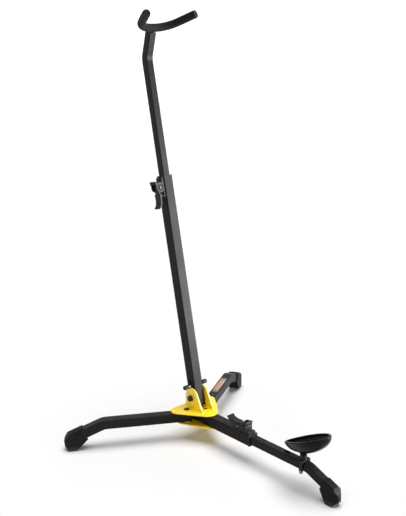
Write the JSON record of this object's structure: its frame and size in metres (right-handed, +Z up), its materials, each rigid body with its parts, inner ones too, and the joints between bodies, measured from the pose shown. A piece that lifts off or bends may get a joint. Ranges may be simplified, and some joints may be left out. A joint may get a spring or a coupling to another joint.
{
  "type": "saxophone stand",
  "caption": "Folding tripod stand with a leaning telescopic post, padded U yoke on top, bright hub and a cradle cup on the front leg for the instrument's bow.",
  "frame": {"origin": "on the floor, in the middle of the stand's bounding box", "axes": "+Z up, +X along the front leg towards its foot, +Y towards the right leg; the stand is laid out about the plane Y = 0"},
  "size_m": [0.5893, 0.5412, 0.9439],
  "materials": {
    "tube_black": "satin black powder coat",
    "moulded_black": "fine moulded texture",
    "boot_rubber": "smooth moulded rubber",
    "hub_yellow": "gloss yellow powder coat",
    "black_hardware": "black zinc",
    "zinc": "zinc plated",
    "nylon": "natural nylon",
    "yoke_foam": "closed-cell foam sleeve",
    "cup_gloss": "gloss moulded plastic",
    "fork_black": "moulded plastic"
  },
  "bodies": {
    "base": {"front_leg_outer_tube": "tube_black", "front_leg_tail_plug": "moulded_black", "front_leg_bush": "moulded_black", "hub_bracket": "hub_yellow", "hub_base_plate": "hub_yellow", "left_swivel_rivet": "black_hardware", "right_swivel_rivet": "black_hardware", "swivel_washers": "nylon", "detent_studs": "hub_yellow", "front_leg_rivets": "black_hardware", "pivot_bolt": "black_hardware", "pivot_nut": "zinc", "pivot_washers": "zinc", "leg_clamp_bracket": "moulded_black", "leg_clamp_pin": "black_hardware", "leg_clamp_screws": "zinc"},
    "left_leg": {"left_leg_tube": "tube_black", "left_foot_boot": "boot_rubber", "left_swivel_sleeve": "zinc"},
    "right_leg": {"right_leg_tube": "tube_black", "right_foot_boot": "boot_rubber", "right_swivel_sleeve": "zinc"},
    "front_leg": {"front_leg_inner_tube": "tube_black", "front_leg_glide": "moulded_black", "front_foot_boot": "boot_rubber"},
    "cradle": {"cradle_fork": "fork_black", "cradle_cross_pin": "zinc", "cradle_cup": "cup_gloss", "cradle_screw": "zinc"},
    "post": {"post_outer_tube": "tube_black", "post_bush": "moulded_black", "post_heel_plug": "moulded_black", "post_pivot_sleeve": "zinc", "post_clamp_bracket": "moulded_black", "post_clamp_pin": "black_hardware", "post_clamp_screws": "zinc", "lock_spring": "zinc"},
    "upper_post": {"post_inner_tube": "tube_black", "post_glide": "moulded_black", "neck_plug": "moulded_black", "yoke_rod": "black_hardware", "yoke_padding": "yoke_foam", "yoke_tip_plugs": "moulded_black"},
    "lock": {"lock_pin": "zinc", "lock_knobs": "moulded_black"},
    "post_lever": {"post_clamp_lever": "moulded_black"},
    "post_shoe": {"post_clamp_shoe": "nylon"},
    "leg_lever": {"leg_clamp_lever": "moulded_black"},
    "leg_shoe": {"leg_clamp_shoe": "nylon"}
  },
  "joints": [
    {"name": "left_leg_swivel", "type": "hinge", "parent": "base", "child": "left_leg", "pos_m": [-0.12612, -0.02832, 0.0545], "axis": [0, 0, 1], "range_deg": [0, 118]},
    {"name": "right_leg_swivel", "type": "hinge", "parent": "base", "child": "right_leg", "pos_m": [-0.12612, 0.02832, 0.0545], "axis": [0, 0, 1], "range_deg": [-118, 0]},
    {"name": "front_leg_slide", "type": "slide", "parent": "base", "child": "front_leg", "axis": [1, 0, 0], "range_m": [-0.038, 0.05]},
    {"name": "cradle_slide", "type": "slide", "parent": "front_leg", "child": "cradle", "axis": [1, 0, 0], "range_m": [-0.045, 0]},
    {"name": "post_fold", "type": "hinge", "parent": "base", "child": "post", "pos_m": [-0.12327, 0, 0.0945], "axis": [0, 1, 0], "range_deg": [0, 90]},
    {"name": "post_height", "type": "slide", "parent": "post", "child": "upper_post", "axis": [-0.213, 0, 0.977], "range_m": [-0.24, 0.1]},
    {"name": "lock_lift", "type": "slide", "parent": "post", "child": "lock", "axis": [-0.213, 0, 0.977], "range_m": [-0.003, 0.012], "stiffness_N_per_m": 250, "springref_m": -0.006, "deforming": ["lock_spring"]},
    {"name": "post_lever_open", "type": "hinge", "parent": "post", "child": "post_lever", "pos_m": [-0.22573, -0.023, 0.56446], "axis": [0.977, 0, 0.213], "range_deg": [-80, 0]},
    {"name": "post_shoe_back", "type": "slide", "parent": "post", "child": "post_shoe", "axis": [0, -1, 0], "range_m": [0, 0.00061]},
    {"name": "leg_lever_open", "type": "hinge", "parent": "base", "child": "leg_lever", "pos_m": [0.03323, 0, 0.0775], "axis": [0, -1, 0], "range_deg": [-80, 0]},
    {"name": "leg_shoe_back", "type": "slide", "parent": "base", "child": "leg_shoe", "axis": [0, 0, 1], "range_m": [0, 0.00061]}
  ],
  "couplings": [
    {"joint": "post_shoe_back", "follows": "post_lever_open", "m_per_rad": -0.00042972},
    {"joint": "leg_shoe_back", "follows": "leg_lever_open", "m_per_rad": -0.00042972}
  ]
}
